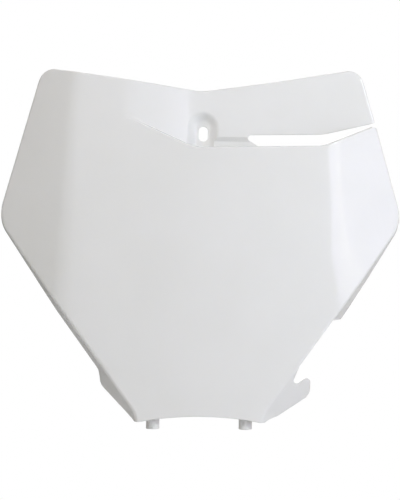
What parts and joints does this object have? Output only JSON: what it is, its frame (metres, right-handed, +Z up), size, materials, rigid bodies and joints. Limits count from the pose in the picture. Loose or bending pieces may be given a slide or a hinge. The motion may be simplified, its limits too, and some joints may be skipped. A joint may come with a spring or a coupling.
{
  "type": "motorbike front number board",
  "caption": "Front number board of an off-road motorbike: a crowned plate with swept wings, a recessed screw seat, an air slot and locating pins.",
  "frame": {"origin": "middle of the screw slot, on the rear face of the screw seat", "axes": "+X across the board to the air slot's side, +Y to the rear of the board, +Z up"},
  "size_m": [0.2726, 0.0361, 0.2433],
  "materials": {
    "white_plastic": "semi-gloss white moulded polypropylene with a faint orange-peel surface"
  },
  "bodies": {
    "root": {"number_board": "white_plastic"}
  },
  "joints": []
}
